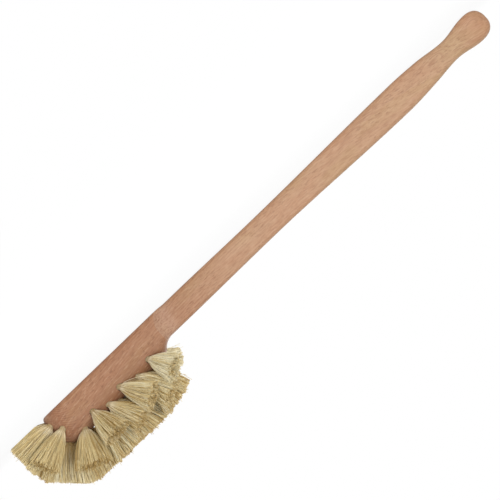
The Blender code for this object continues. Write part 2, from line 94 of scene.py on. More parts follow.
class Recipe:
    """The nodes of one material, or of the room's light, with short calls for those that the finishes share."""

    def __init__(self, owner: bpy.types.Material | bpy.types.World) -> None:
        """Starts from the plain shader that a new material or world has.

        Args:
            owner: the new material or world.
        """
        owner.use_nodes = True
        self.owner = owner
        self.tree = owner.node_tree
        self.surface = next(node.inputs["Surface"] for node in self.tree.nodes if "Surface" in node.inputs)
        self.shader = self.surface.links[0].from_node

    def node(self, kind: str, values: dict[str | int, object] | None = None, **settings: object) -> bpy.types.Node:
        """Adds a node, sets its properties, and fills or links its inputs.

        Args:
            kind: the node's type without its first word, such as TexNoise.
            values: its inputs by name or index, each a plain value or the socket that feeds it.
            settings: its properties by name.

        Returns:
            The new node.
        """
        made = self.tree.nodes.new(f"ShaderNode{kind}")
        for name, value in settings.items():
            setattr(made, name, value)
        for key, value in (values or {}).items():
            self.feed(made.inputs[key], value)
        return made

    def feed(self, target: Socket, value: object) -> None:
        """Links a socket to target, or writes a plain value on it.

        Args:
            target: the input to fill.
            value: an output socket, a number, a vector or a colour.
        """
        if isinstance(value, Socket):
            self.tree.links.new(value, target)
        elif isinstance(value, tuple) and len(value) == 3 and target.type == "RGBA":
            target.default_value = (*value, 1)
        else:
            target.default_value = value

    def place(self, scale: Colour, shift: Colour = (0, 0, 0), vector: Socket | None = None) -> Socket:
        """Coordinates stretched and moved by a Mapping node.

        Args:
            scale: how often the pattern repeats along each axis, per metre.
            shift: the move along each axis, in stretched units.
            vector: the coordinates to map, the piece's own if none are given.

        Returns:
            The mapped vector.
        """
        if vector is None:
            vector = self.node("TexCoord").outputs["Object"]
        return self.node("Mapping", {"Vector": vector, "Scale": scale, "Location": shift}).outputs["Vector"]

    @cached_property
    def parts(self) -> tuple[Socket, Socket, Socket]:
        """The piece's own X, Y and Z."""
        return tuple(self.node("SeparateXYZ", {"Vector": self.place((1, 1, 1))}).outputs)

    def noise(self, pattern: Noise, vector: Socket | None = None) -> Socket:
        """Noise about 0.5, on the given vector or on the piece's own coordinates.

        Args:
            pattern: the noise.
            vector: the coordinates, the piece's own if none are given.

        Returns:
            The noise.
        """
        placed = self.place(pattern.scale, pattern.shift, vector)
        values = {"Vector": placed, "Scale": 1.0, "Detail": pattern.detail, "Roughness": pattern.roughness}
        return self.node("TexNoise", values).outputs["Fac"]

    def maths(self, operation: str, first: object, second: object = 0.0, third: object = 0.0) -> Socket:
        """The result of a Math node, such as MAXIMUM, on numbers or sockets."""
        return self.node("Math", {0: first, 1: second, 2: third}, operation=operation).outputs[0]

    def times(self, first: object, second: object) -> Socket:
        """The product of two numbers or sockets."""
        return self.maths("MULTIPLY", first, second)

    def minus(self, first: object, second: object) -> Socket:
        """The first number or socket less the second."""
        return self.maths("SUBTRACT", first, second)

    def plus(self, base: object, value: object, share: object) -> Socket:
        """base and, added to it, value times share."""
        return self.maths("MULTIPLY_ADD", value, share, base)

    def length(self, vector: Socket) -> Socket:
        """A vector's length."""
        return self.node("VectorMath", {0: vector}, operation="LENGTH").outputs["Value"]

    def span(self, value: Socket, low: float, high: float, start: float = 0, end: float = 1) -> Socket:
        """Maps low..high to start..end along an S curve, held at both ends.

        Args:
            value: the value to map.
            low: what becomes start.
            high: what becomes end.
            start: the result at low.
            end: the result at high.

        Returns:
            The mapped value.
        """
        values = {"Value": value, "From Min": low, "From Max": high, "To Min": start, "To Max": end}
        return self.node("MapRange", values, interpolation_type="SMOOTHSTEP").outputs["Result"]

    def mix(self, share: object, first: object, second: object, blend: str = "MIX") -> Socket:
        """Mixes two colours.

        Args:
            share: how much of the second shows.
            first: the first colour or socket.
            second: the second colour or socket.
            blend: the blend type.

        Returns:
            The mixed colour.
        """
        values = {0: share, 6: first, 7: second}
        return self.node("Mix", values, data_type="RGBA", blend_type=blend, clamp_factor=True).outputs[2]

    def seen(self) -> Socket:
        """Tells what the camera sees, also in shiny things or through clear ones, from the light on things.

        Returns:
            1 for what the camera sees, and 0 for the light.
        """
        paths = self.node("LightPath").outputs
        direct = self.maths("MAXIMUM", paths["Is Camera Ray"], paths["Is Glossy Ray"])
        return self.maths("MAXIMUM", direct, paths["Is Transmission Ray"])

    def show(self, share: object, other: bpy.types.Node) -> None:
        """Puts out the recipe's own shader with a share of another one."""
        both = self.node("MixShader", {0: share, 1: self.shader.outputs[0], 2: other.outputs[0]})
        self.feed(self.surface, both.outputs[0])

    def finish(self, values: dict[str, object], height: Socket | None = None, depth: float = 0) -> bpy.types.ID:
        """Fills the shader's inputs, and adds a bump if there is a height.

        Args:
            values: the shader's inputs by name.
            height: the bump's height, if any.
            depth: the height of the bump in metres.

        Returns:
            The finished material or world.
        """
        for name, value in values.items():
            self.feed(self.shader.inputs[name], value)
        if height is not None:
            bump = self.node("Bump", {"Height": height, "Distance": depth, "Strength": 1.0})
            self.feed(self.shader.inputs["Normal"], bump.outputs["Normal"])
        return self.owner


class Streak(NamedTuple):
    """A colour that shows where a pattern's noise goes from low, none of it, to high, its most."""

    pattern: Noise
    low: float
    high: float
    most: float
    tone: Colour
    calmed: bool


class Oval(NamedTuple):
    """A place on the flank where the rings close into long ovals, as where a plane has cut through a swell."""

    at: float
    height: float
    length: float
    depth: float


@dataclass(frozen=True)
class BeechFinish:
    """Sanded and lightly oiled beech: growth rings, dark and pale ray flecks and soft streaks along a bent grain.

    A run is where along the brush a tone comes in, and a rise at which height. The fields named most are the
    largest share of a tone. calmer is where the grain becomes weaker, to the shares that follow it.
    """

    head_tone: Colour = (0.358, 0.176, 0.091)
    handle_tone: Colour = (0.446, 0.259, 0.149)
    handle_run: Range = (0.035, 0.150)
    waist_tone: Colour = (0.452, 0.277, 0.159)
    waist_run: Range = (0.295, 0.335)
    knob_tone: Colour = (0.436, 0.238, 0.132)
    knob_run: Range = (0.340, 0.362)
    # painted shade: the head's keel side, where the tufts stand, is darkened in the colour by height and along the
    # brush
    painted_keel_shade: Colour = (0.76, 0.72, 0.67)
    keel_shade_run: Range = (0.060, 0.045)
    keel_shade_rise: Range = (0.009, 0.026)
    nose_pink: Colour = (0.400, 0.220, 0.140)
    pink_run: Range = (-0.034, -0.042)
    pink_rise: Range = (0.020, 0.008)
    pink_most: float = 0.6
    # painted light: a paler tone on the scoop's facet, where it faces the light, from its edge fading out towards the
    # handle
    scoop_painted_light: Colour = (0.435, 0.268, 0.178)
    scoop_edge: Range = (-0.0002, 0.0003)
    scoop_fade: Range = (0.020, 0.005)
    scoop_light_most: float = 0.75
    scoop_at: float = 0.0556
    scoop_bent_below: float = 0.0120
    scoop_bend: float = 50
    patches: Noise = Noise((26, 90, 90), (4, 4, 9), 2)
    rosy: Colour = (1.0, 0.965, 0.96)
    rosy_over: Range = (0.50, 0.66)
    tan: Colour = (0.975, 1.0, 0.94)
    tan_under: Range = (0.48, 0.34)
    grain_slope: float = 0.09
    grain_bend: float = 0.40
    calmer: Range = (0.040, 0.120)
    calm_rings: float = 0.6
    calm_streaks: float = 0.62
    late_wood: Colour = (0.250, 0.105, 0.052)
    ring_spacing: float = 0.0018
    ring_start: Range = (0.30, 0.80)
    ring_end: Range = (1.0, 0.84)
    pith_aside: float = -0.012
    pith_below: float = 0.060
    wander: Noise = Noise((14, 90, 90), (3, 1, 2))
    wander_reach: float = 0.0014
    drift: Noise = Noise((9, 55, 55), detail=2)
    drift_reach: float = 0.0034
    ring_patches: Noise = Noise((22, 60, 60), (1, 6, 3))
    ring_over: Range = (0.40, 0.66)
    ring_seen: Range = (0.05, 0.34)
    nose_at: float = -0.0469
    nose_dip: float = 0.041
    nose_reach: float = 0.0080
    nose_rings: Range = (0.024, 0.012)
    ovals: tuple[Oval, ...] = (
        Oval(0.2480, 0.0050, 0.0240, 0.0036),
        Oval(0.3260, 0.0073, 0.0150, 0.0045),
        Oval(0.3625, 0.0072, 0.0110, 0.0048),
    )
    oval_lift: float = 1.5
    oval_most: float = 0.42
    pale_streak: Colour = (0.540, 0.345, 0.220)
    fine: Noise = Noise((170, 950, 950), detail=2)
    streaks: tuple[Streak, ...] = (
        Streak(Noise((18, 160, 160), (1, 5, 4), 4, 0.6), 0.50, 0.74, 0.32, pale_streak, False),
        Streak(Noise((34, 280, 280), (6, 2, 7), 4, 0.65), 0.52, 0.76, 0.30, late_wood, True),
        Streak(fine, 0.48, 0.68, 0.43, late_wood, True),
        Streak(fine, 0.44, 0.30, 0.28, pale_streak, False),
    )
    fleck: Colour = (0.180, 0.074, 0.036)
    flecks: Noise = Noise((270, 1150, 1150), (2, 9, 4), 1)
    fleck_over: Range = (0.57, 0.68)
    fleck_patches: Noise = Noise((24, 90, 90), (8, 8, 1))
    fleck_patch_over: Range = (0.40, 0.60)
    fleck_seen: Range = (0.30, 0.9)
    fleck_most: float = 0.60
    fleck_depth: float = -0.7
    roughness: float = 0.48
    fine_roughness: float = 0.16
    specular: float = 0.38
    pore_depth: float = 0.00006

    def grain(self, recipe: Recipe) -> Socket:
        """The coordinates that the grain follows: it slopes one way at the head and the other way at the knob.

        Args:
            recipe: the material being made.

        Returns:
            The bent coordinates.
        """
        along, across, height = recipe.parts
        slope = recipe.plus(self.grain_slope, along, -self.grain_bend)
        bent = {"X": along, "Y": across, "Z": recipe.plus(height, along, slope)}
        return recipe.node("CombineXYZ", bent).outputs["Vector"]

    def tones(self, recipe: Recipe, grain: Socket) -> Socket:
        """The wood's colour: redder head with painted shade on its keel side, painted light on the scoop facet, pale
        knob.

        Args:
            recipe: the material being made.
            grain: the coordinates that the grain follows.

        Returns:
            The colour.
        """
        along, _, height = recipe.parts
        base = recipe.mix(recipe.span(along, *self.handle_run), self.head_tone, self.handle_tone)
        base = recipe.mix(recipe.span(along, *self.waist_run), base, self.waist_tone)
        base = recipe.mix(recipe.span(along, *self.knob_run), base, self.knob_tone)
        # painted shade: darkens the keel side of the head, standing in for the shade among the tufts
        shade = recipe.times(recipe.span(height, *self.keel_shade_rise), recipe.span(along, *self.keel_shade_run))
        base = recipe.mix(shade, base, self.painted_keel_shade, "MULTIPLY")
        pink = recipe.span(along, *self.pink_run, 0, self.pink_most)
        base = recipe.mix(recipe.times(pink, recipe.span(height, *self.pink_rise)), base, self.nose_pink)
        # painted light on the scoop's facet: paler from its bent edge, fading out towards the handle
        under = recipe.maths("MAXIMUM", recipe.minus(self.scoop_bent_below, height))
        bend = recipe.times(recipe.times(under, under), self.scoop_bend)
        past = recipe.minus(recipe.minus(along, self.scoop_at), bend)
        fade = recipe.span(past, *self.scoop_fade, 0, self.scoop_light_most)
        base = recipe.mix(recipe.times(recipe.span(past, *self.scoop_edge), fade), base, self.scoop_painted_light)
        patch = recipe.noise(self.patches, grain)
        base = recipe.mix(recipe.span(patch, *self.rosy_over), base, self.rosy, "MULTIPLY")
        return recipe.mix(recipe.span(patch, *self.tan_under), base, self.tan, "MULTIPLY")

    def rings(self, recipe: Recipe, grain: Socket) -> Socket:
        """The growth rings: nearly straight lines on the flanks, curving down across the nose.

        Args:
            recipe: the material being made.
            grain: the coordinates that the grain follows.

        Returns:
            How much late wood shows.
        """
        along = recipe.parts[0]
        past = recipe.minus(along, self.nose_at)
        dip = recipe.maths("EXPONENT", recipe.maths("DIVIDE", past, -self.nose_reach))
        radius = recipe.length(recipe.place((0, 1, 1), (0, self.pith_aside, self.pith_below), grain))
        bent = recipe.plus(radius, dip, self.nose_dip)
        near = recipe.span(past, *self.nose_rings)
        for at, height, length, depth in self.ovals:
            far = recipe.length(recipe.place((1 / length, 0, 1 / depth), (-at / length, 0, -height / depth)))
            oval = recipe.maths("EXPONENT", recipe.times(recipe.times(far, far), -1.0))
            bent = recipe.plus(bent, oval, self.oval_lift * depth)
            near = recipe.maths("MAXIMUM", near, recipe.times(oval, self.oval_most))
        bent = recipe.plus(bent, recipe.noise(self.wander, grain), self.wander_reach)
        bent = recipe.plus(bent, recipe.noise(self.drift, grain), self.drift_reach)
        ring = recipe.maths("FRACT", recipe.maths("DIVIDE", bent, self.ring_spacing))
        late = recipe.times(recipe.span(ring, *self.ring_start), recipe.span(ring, *self.ring_end))
        seen = recipe.span(recipe.noise(self.ring_patches, grain), *self.ring_over, *self.ring_seen)
        seen = recipe.times(seen, recipe.span(along, *self.calmer, 1.0, self.calm_rings))
        return recipe.times(late, recipe.maths("MAXIMUM", seen, near))

    def material(self) -> bpy.types.Material:
        """Builds the wood's material.

        Returns:
            The material.
        """
        recipe = Recipe(bpy.data.materials.new("beech_grain"))
        grain = self.grain(recipe)
        colour = recipe.mix(self.rings(recipe, grain), self.tones(recipe, grain), self.late_wood)
        calm = recipe.span(recipe.parts[0], *self.calmer, 1.0, self.calm_streaks)
        for streak in self.streaks:
            share = recipe.span(recipe.noise(streak.pattern, grain), streak.low, streak.high, 0, streak.most)
            colour = recipe.mix(recipe.times(share, calm) if streak.calmed else share, colour, streak.tone)
        patch = recipe.span(recipe.noise(self.fleck_patches), *self.fleck_patch_over, *self.fleck_seen)
        flecks = recipe.span(recipe.noise(self.flecks, grain), *self.fleck_over)
        flecks = recipe.times(flecks, recipe.times(patch, calm))
        colour = recipe.mix(recipe.times(flecks, self.fleck_most), colour, self.fleck)
        fine = recipe.noise(self.fine, grain)
        dull = recipe.plus(self.roughness, fine, self.fine_roughness)
        values = {"Base Color": colour, "Roughness": dull, "Specular IOR Level": self.specular}
        return recipe.finish(values, recipe.plus(fine, flecks, self.fleck_depth), self.pore_depth)


@dataclass(frozen=True)
class FibreFinish:
    """Dry plant fibre: each fibre has its own straw tone, painted shade deep in the brush and a browner cut end.

    The fields named run are shares of a fibre's length, and inner_run is the distance from the brush's middle.
    A fibre's tone times a rate picks, by its fraction, the fibres that are lined or browned.
    """

    straw: Colour = (0.755, 0.62, 0.325)
    cream: Colour = (0.92, 0.86, 0.63)
    cream_over: Range = (0.45, 1.0)
    ochre: Colour = (0.415, 0.245, 0.055)
    ochre_under: Range = (0.45, 0.05)
    brown: Colour = (0.20, 0.11, 0.045)
    brown_under: Range = (0.035, 0.015)
    mottle: Noise = Noise((500, 500, 500), detail=2)
    mottle_over: Range = (0.50, 0.80)
    mottle_most: float = 0.35
    # painted light: the pale tone at the roots of the outer tufts, which the light reaches
    root_painted_light: Colour = (0.88, 0.80, 0.61)
    root_shade: Colour = (0.36, 0.235, 0.09)
    bound_run: Range = (0.34, 0.04)
    lined_rate: float = 61.0
    lined_over: Range = (0.45, 0.75)
    lined_most: float = 0.75
    # painted shade: the inner tufts near the brush's middle turn ochre along most of their length
    inner_run: Range = (0.009, 0.005)
    deep_shade_run: Range = (0.85, 0.15)
    deep_shade_most: float = 0.55
    # painted shade where the fibres go down into their holes
    hole_shade_run: Range = (0.09, 0.0)
    hole_shade_most: float = 0.6
    cut_end: Colour = (0.62, 0.46, 0.22)
    cut_run: Range = (0.93, 1.0)
    cut_most: float = 0.60
    cut_rate: float = 97.0
    cut_over: Range = (0.35, 0.60)
    roughness: float = 0.55
    specular: float = 0.35

    def material(self) -> bpy.types.Material:
        """Builds the fibres' material, which reads the attributes tone and along of each tuft.

        Returns:
            The material.
        """
        recipe = Recipe(bpy.data.materials.new("plant_fibre_strands"))
        tone, along = (recipe.node("Attribute", attribute_name=name).outputs["Fac"] for name in ("tone", "along"))
        colour = recipe.mix(recipe.span(tone, *self.cream_over), self.straw, self.cream)
        colour = recipe.mix(recipe.span(tone, *self.ochre_under), colour, self.ochre)
        colour = recipe.mix(recipe.span(tone, *self.brown_under), colour, self.brown)
        mottle = recipe.span(recipe.noise(self.mottle), *self.mottle_over, 0, self.mottle_most)
        colour = recipe.mix(mottle, colour, self.ochre)
        lined, some = (recipe.maths("FRACT", recipe.times(tone, rate)) for rate in (self.lined_rate, self.cut_rate))
        lined = recipe.span(lined, *self.lined_over, 0, self.lined_most)
        bound = recipe.span(along, *self.bound_run)
        colour = recipe.mix(recipe.times(bound, lined), colour, self.root_shade)
        # painted light at the roots: the pale root tone is kept off the inner tufts near the brush's middle, which
        # lie in shade
        inner = recipe.span(recipe.maths("ABSOLUTE", recipe.parts[1]), *self.inner_run)
        light = recipe.maths("MAXIMUM", recipe.minus(recipe.minus(self.lined_most, lined), inner))
        colour = recipe.mix(recipe.times(bound, light), colour, self.root_painted_light)
        # painted shade on the inner tufts, which lie among and under the others
        deep = recipe.times(inner, recipe.span(along, *self.deep_shade_run, 0, self.deep_shade_most))
        colour = recipe.mix(deep, colour, self.ochre)
        # painted shade at the very root, where the fibres enter their holes
        colour = recipe.mix(recipe.span(along, *self.hole_shade_run, 0, self.hole_shade_most), colour, self.root_shade)
        some = recipe.span(some, *self.cut_over)
        ends = recipe.times(recipe.span(along, *self.cut_run, 0, self.cut_most), some)
        colour = recipe.mix(ends, colour, self.cut_end)
        values = {"Base Color": colour, "Roughness": self.roughness, "Specular IOR Level": self.specular}
        return recipe.finish(values)


@dataclass(frozen=True)
class WireFinish:
    """Drawn flat steel wire."""

    steel: Colour = (0.58, 0.58, 0.56)
    drawn: Noise = Noise((3000, 400, 9000), detail=2)
    roughness: float = 0.25
    drawn_roughness: float = 0.25

    def material(self) -> bpy.types.Material:
        """Builds the wire's material.

        Returns:
            The material.
        """
        recipe = Recipe(bpy.data.materials.new("drawn_wire"))
        dull = recipe.plus(self.roughness, recipe.noise(self.drawn), self.drawn_roughness)
        return recipe.finish({"Base Color": self.steel, "Roughness": dull, "Metallic": 1.0})


def deselect() -> None:
    """Deselects every object, in object mode."""
    if bpy.context.object is not None and bpy.context.object.mode != "OBJECT":
        bpy.ops.object.mode_set(mode="OBJECT")
    bpy.ops.object.select_all(action="DESELECT")


def choose(item: bpy.types.Object) -> None:
    """Makes an object the only selected and the active one.

    Args:
        item: the object.
    """
    deselect()
    item.select_set(True)
    bpy.context.view_layer.objects.active = item


def dress(item: bpy.types.Object, finish: bpy.types.Material) -> None:
    """Gives an object one material."""
    item.data.materials.clear()
    item.data.materials.append(finish)


def eased(share: float) -> float:
    """An S curve from 0 to 1, level at both ends and beyond them."""
    held = min(max(share, 0), 1)
    return held * held * (3 - 2 * held)


def shape(item: bpy.types.Object, places: np.ndarray) -> None:
    """Moves every corner of an object's mesh to its place."""
    item.data.vertices.foreach_set("co", places.astype(np.float32).ravel())
    item.data.update()


def corners_of(item: bpy.types.Object) -> np.ndarray:
    """The corners of an object's mesh."""
    return np.array([vert.co for vert in item.data.vertices])


def column(sides: int, levels: tuple[float, ...]) -> bpy.types.Object:
    """Models a column: a circle of unit radius, extruded from level to level and closed at its end.

    Args:
        sides: the number of its sides.
        levels: the height of each ring.

    Returns:
        The column, open at its start.
    """
    deselect()
    bpy.ops.mesh.primitive_circle_add(vertices=sides, radius=1, location=(0, 0, levels[0]))
    made = bpy.context.object
    bpy.ops.object.mode_set(mode="EDIT")
    bpy.ops.mesh.select_all(action="SELECT")
    for low, high in zip(levels, levels[1:]):
        bpy.ops.mesh.extrude_region_move(TRANSFORM_OT_translate={"value": (0, 0, high - low)})
    bpy.ops.mesh.edge_face_add()
    bpy.ops.object.mode_set(mode="OBJECT")
    bpy.ops.object.transform_apply(location=True, rotation=True, scale=True)
    return made


def join(items: list[bpy.types.Object]) -> bpy.types.Object:
    """Joins objects into one whose origin is the row's, unturned and unscaled.

    Args:
        items: the objects.

    Returns:
        The joined object.
    """
    choose(items[0])
    for item in items:
        item.select_set(True)
    bpy.ops.object.join()
    bpy.ops.object.transform_apply(location=True, rotation=True, scale=True)
    return bpy.context.object


class Section(NamedTuple):
    """One cross-section of the wood: its place, its back line's rise, its size and how strongly it bends back."""

    at: float
    rise: float
    depth: float
    thickness: float
    edge: float
    bend: float = 0


@dataclass
class BeechBody:
    """The one-piece wooden body: rings drawn along its length, a turned nose and drilled holes.

    handle holds the sections from the neck to the knob, each as its distance from the one before, the rise of
    its back line, its depth, its thickness and the round along its edges.
    """

    node: str = "beech_body"
    head_length: float = 0.0938
    head_depth: float = 0.0287
    head_thickness: float = 0.0280
    back_round: float = 0.0030
    keel_round: float = 0.0120
    heel_degrees: float = 45
    crest_round: float = 0.0030
    heel_round: float = 0.0120
    scoop_start: float = 0.0087
    scoop_length: float = 0.0150
    scoop_bent_below: float = 0.0120
    scoop_bend: float = 50
    bend_run_in: float = 0.0120
    bend_run_out: float = 0.0200
    handle: tuple[tuple[float, float, float, float, float], ...] = (
        (0.0312, 0.0005, 0.0199, 0.0170, 0.0034),
        (0.0800, 0.0011, 0.0190, 0.0165, 0.0034),
        (0.1320, 0.0000, 0.0230, 0.0180, 0.0045),
        (0.0230, 0.0009, 0.0209, 0.0165, 0.0045),
        (0.0255, 0.0035, 0.0162, 0.0135, 0.0045),
        (0.0212, 0.0008, 0.0219, 0.0175, 0.0065),
    )
    head_steps: int = 42
    heel_steps: int = 20
    scoop_steps: int = 26
    span_steps: tuple[int, ...] = (26, 40, 14, 16, 16)
    knob_to_end: float = 0.0128
    knob_squareness: float = 2.4
    hole_radius: float = 0.0028
    hole_depth: float = 0.0075
    hole_sides: int = 40
    slot: tuple[float, float, float] = (0.0074, 0.0010, 0.0026)
    slot_middle: float = 0.0047
    back_steps: int = 5
    wall_steps: int = 7
    keel_steps: int = 18
    nose_steps: int = 56
    knob_steps: int = 18
    knob_step_left: float = 0.35
    smooth_degrees: float = 28
    merge_within: float = 0.000002

    def half(self, section: Section) -> np.ndarray:
        """One half of a section, from the middle of the back to the keel.

        Args:
            section: the section.

        Returns:
            Its points as across and height.
        """
        side = section.thickness / 2
        top = section.rise + section.depth
        back = min(self.back_round, section.edge, section.depth / 2)
        keel = min(section.edge, side, section.depth - back)
        low = np.radians(np.linspace(-90, 0, self.back_steps + 1))
        high = np.radians(np.linspace(0, 90, self.keel_steps + 1))
        wall = np.linspace(section.rise + back, top - keel, self.wall_steps + 1)[1:-1]
        parts = (
            np.array([(0, section.rise)]),
            np.stack([side - back + back * np.cos(low), section.rise + back + back * np.sin(low)], axis=1),
            np.stack([np.full(len(wall), side), wall], axis=1),
            np.stack([side - keel + keel * np.cos(high), top - keel + keel * np.sin(high)], axis=1),
            np.array([(0, top)]),
        )
        return np.concatenate(parts)

    def ring(self, section: Section) -> np.ndarray:
        """All points of a section. A bent one curves, so that its back lies nearer the knob.

        Args:
            section: the section.

        Returns:
            Its points in the row's coordinates.
        """
        half = self.half(section)
        outline = np.concatenate([half, half[-2:0:-1] * (-1, 1)])
        under = np.maximum(self.scoop_bent_below - outline[:, 1], 0)
        along = section.at - self.head_length / 2 + section.bend * under**2
        return np.stack([along, outline[:, 0], outline[:, 1]], axis=1)

    def heel_height(self, at: float) -> float:
        """Height of the keel side along the heel: level, rounded crest, slope, concave run-out, level.

        Args:
            at: the distance from the nose.

        Returns:
            The height.
        """
        angle = math.radians(self.heel_degrees)
        level = self.handle[0][1] + self.handle[0][2]
        foot = self.head_length + (self.head_depth - level) / math.tan(angle)
        crest = self.crest_round * math.tan(angle / 2)
        run_out = self.heel_round * math.tan(angle / 2)
        if at <= self.head_length - crest:
            return self.head_depth
        if at < self.head_length + crest * math.cos(angle):
            past = at - self.head_length + crest
            return self.head_depth - self.crest_round + math.sqrt(self.crest_round**2 - past**2)
        if at <= foot - run_out * math.cos(angle):
            return self.head_depth - (at - self.head_length) * math.tan(angle)
        if at < foot + run_out:
            return level + self.heel_round - math.sqrt(self.heel_round**2 - (foot + run_out - at) ** 2)
        return level

    def neck(self, at: float) -> Section:
        """A section of the heel or of the scoop behind it.

        Args:
            at: the distance from the nose.

        Returns:
            The section.
        """
        _, rise, _, thickness, edge = self.handle[0]
        past = at - self.head_length - self.scoop_start
        left = 1 - min(max(past / self.scoop_length, 0), 1)
        wide = thickness + (self.head_thickness - thickness) * left * left
        bend = self.scoop_bend * eased(past / self.bend_run_in + 1) * (1 - eased(past / self.bend_run_out))
        raised = rise * eased(past / self.scoop_length)
        tapered = math.sqrt(eased((at - self.head_length) / (self.scoop_start + self.scoop_length)))
        full = min(self.keel_round, self.head_thickness / 2)
        return Section(at, raised, self.heel_height(at) - raised, wide, full + (edge - full) * tapered, bend)

    def handle_sections(self) -> list[Section]:
        """Sections from the neck to the knob's fullest place, on a smooth curve through the named ones.

        Returns:
            The sections.
        """
        values = np.array(self.handle, float)
        values[0, 0] += self.head_length
        values[:, 0] = values[:, 0].cumsum()
        steps = np.diff(values, axis=0)
        rates = steps[:, 1:] / steps[:, :1]
        same_way = rates[:-1] * rates[1:] > 0
        means = 2 * rates[:-1] * rates[1:] / np.where(same_way, rates[:-1] + rates[1:], 1)
        slopes = np.zeros((len(values), rates.shape[1]))
        slopes[1:-1] = np.where(same_way, means, 0)
        found = [Section(*values[0])]
        for span, count in enumerate(self.span_steps):
            run = steps[span, 0]
            for share in np.linspace(0, 1, count + 1)[1:]:
                square, cube = share**2, share**3
                low, high = values[span, 1:], values[span + 1, 1:]
                sizes = (2 * cube - 3 * square + 1) * low + (3 * square - 2 * cube) * high
                sizes += (cube - 2 * square + share) * slopes[span] * run + (cube - square) * slopes[span + 1] * run
                found.append(Section(values[span, 0] + share * run, *sizes))
        return found

    def knob_sections(self, knob_at: float) -> list[Section]:
        """Sections from past the knob's fullest place to its end, each smaller by a superellipse.

        Args:
            knob_at: the distance of the fullest place from the nose.

        Returns:
            The sections.
        """
        _, rise, depth, thickness, edge = self.handle[-1]
        found = []
        for step in range(1, self.knob_steps + 1):
            reach = math.sin(math.radians(90) * step / (self.knob_steps + self.knob_step_left))
            left = (1 - reach**self.knob_squareness) ** (1 / self.knob_squareness)
            at, lift = knob_at + self.knob_to_end * reach, rise + depth * (1 - left) / 2
            found.append(Section(at, lift, depth * left, thickness * left, edge * left))
        return found

    def sections(self) -> list[Section]:
        """All sections from where the nose begins to the knob's end.

        Returns:
            The sections.
        """
        straight_end = self.head_length - self.crest_round
        edge_at = self.head_length + self.scoop_start
        neck_at = self.head_length + self.handle[0][0]
        found = [self.head(at) for at in np.linspace(self.head_thickness / 2, straight_end, self.head_steps)]
        found += [self.neck(at) for at in np.linspace(straight_end, edge_at, self.heel_steps)[1:]]
        found += [self.neck(at) for at in np.linspace(edge_at, neck_at, self.scoop_steps)[1:-1]]
        found += self.handle_sections()
        return found + self.knob_sections(found[-1].at)

    def head(self, at: float) -> Section:
        """A section of the head's straight part, at a distance from the nose."""
        return Section(at, 0, self.head_depth, self.head_thickness, min(self.keel_round, self.head_thickness / 2))

    def tube(self) -> bpy.types.Object:
        """Models the body behind the nose: a column with a ring for each section, shaped to them.

        Returns:
            The tube, closed at the knob.
        """
        rings = np.array([self.ring(section) for section in self.sections()])
        count = rings.shape[1]
        tube = column(count, tuple(range(len(rings))))
        places = corners_of(tube)
        turn = np.round(np.arctan2(places[:, 1], places[:, 0]) / math.tau * count).astype(int) % count
        shape(tube, rings[np.round(places[:, 2]).astype(int), turn])
        return tube

    def nose(self) -> bpy.types.Object:
        """Models the nose: a grid, shaped to half the head's section turned round an upright axis.

        Returns:
            The nose, open where it meets the head.
        """
        half = self.half(self.head(self.head_thickness / 2))
        deselect()
        bpy.ops.mesh.primitive_grid_add(x_subdivisions=self.nose_steps, y_subdivisions=len(half) - 1, size=2)
        nose = bpy.context.object
        places = corners_of(nose)
        turn = (places[:, 0] + 1) / 2 * math.pi
        row = np.round((places[:, 1] + 1) / 2 * (len(half) - 1)).astype(int)
        across, height = half[row, 0], half[row, 1]
        centre = (self.head_thickness - self.head_length) / 2
        shape(nose, np.stack([centre - across * np.sin(turn), across * np.cos(turn), height], axis=1))
        return nose

    def cutters(self, frames: list[Matrix], slots: bool) -> bpy.types.Object:
        """Models the drills, or the slots that the anchors' ends bite into, as one cutter.

        Args:
            frames: each tuft's frame on its hole's mouth.
            slots: whether to model the slots.

        Returns:
            The cutter.
        """
        made = []
        for frame in frames:
            deselect()
            if slots:
                bpy.ops.mesh.primitive_cube_add(size=1, scale=self.slot)
                inside = self.slot_middle
            else:
                size = {"vertices": self.hole_sides, "radius": self.hole_radius, "depth": 2 * self.hole_depth}
                bpy.ops.mesh.primitive_cylinder_add(**size)
                inside = 0
            bpy.ops.object.transform_apply(location=True, rotation=True, scale=True)
            made.append(bpy.context.object)
            made[-1].matrix_world = frame @ Matrix.Translation((0, 0, -inside))
        bpy.context.view_layer.update()
        return join(made)

    def build(self, frames: list[Matrix], finish: bpy.types.Material) -> bpy.types.Object:
        """Models the body, drills it and dresses it.

        Args:
            frames: each tuft's frame on its hole's mouth.
            finish: the wood's material.

        Returns:
            The wooden piece.
        """
        piece = join([self.tube(), self.nose()])
        piece.name = piece.data.name = "beech_wood"
        choose(piece)
        bpy.ops.object.mode_set(mode="EDIT")
        bpy.ops.mesh.select_all(action="SELECT")
        bpy.ops.mesh.remove_doubles(threshold=self.merge_within)
        bpy.ops.mesh.normals_make_consistent(inside=False)
        bpy.ops.object.mode_set(mode="OBJECT")
        for slots in (False, True):
            cutter = self.cutters(frames, slots)
            choose(piece)
            cut = piece.modifiers.new("cut", "BOOLEAN")
            cut.operation, cut.solver, cut.object = "DIFFERENCE", "EXACT", cutter
            bpy.ops.object.modifier_apply(modifier=cut.name)
            bpy.data.objects.remove(cutter)
        bpy.ops.object.shade_smooth_by_angle(angle=math.radians(self.smooth_degrees))
        dress(piece, finish)
        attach(piece, "root")
        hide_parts(self.node)
        return piece


